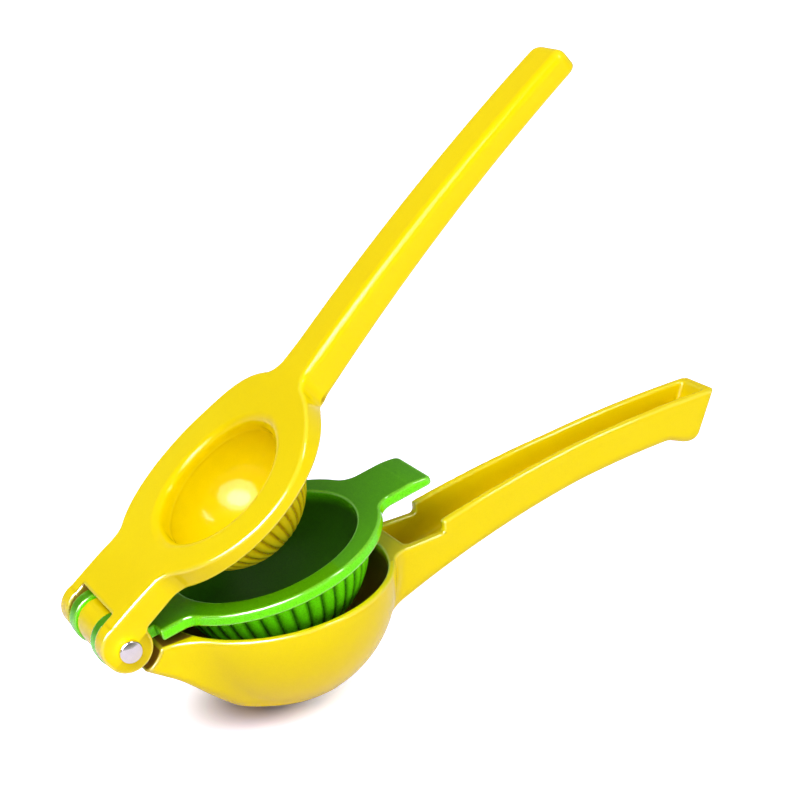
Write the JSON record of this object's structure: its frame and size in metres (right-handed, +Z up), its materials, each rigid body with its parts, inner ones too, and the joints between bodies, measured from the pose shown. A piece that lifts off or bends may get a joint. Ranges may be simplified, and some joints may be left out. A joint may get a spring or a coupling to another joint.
{
  "type": "hinged citrus squeezer",
  "caption": "Hinged two-in-one lemon and lime squeezer: a lemon bowl with a hollow handle, a nested lime cup with a lifting tab, and a domed press lever on one rivet.",
  "frame": {"origin": "centre of the flat under the lemon bowl, on the surface that the squeezer stands on", "axes": "+X from the bowl towards the ends of the handles, +Y along the hinge's pin, +Z up out of the bowl"},
  "size_m": [0.2222, 0.075, 0.1716],
  "materials": {
    "yellow_enamel": "glossy yellow enamel on cast aluminium",
    "green_enamel": "glossy green enamel on cast aluminium",
    "polished_steel": "polished stainless steel"
  },
  "bodies": {
    "lemon_lever": {"lemon_lever": "yellow_enamel"},
    "lime_cup": {"lime_cup": "green_enamel"},
    "press_lever": {"press_lever": "yellow_enamel", "rivet_tube": "polished_steel", "rivet_post": "polished_steel"}
  },
  "joints": [
    {"name": "lime_hinge", "type": "hinge", "parent": "lemon_lever", "child": "lime_cup", "pos_m": [-0.052, 0, 0.03942], "axis": [0, -1, 0], "range_deg": [-9.3, 80.7]},
    {"name": "press_hinge", "type": "hinge", "parent": "lime_cup", "child": "press_lever", "pos_m": [-0.052, 0, 0.03942], "axis": [0, -1, 0], "range_deg": [-23.6, 64.9]}
  ]
}
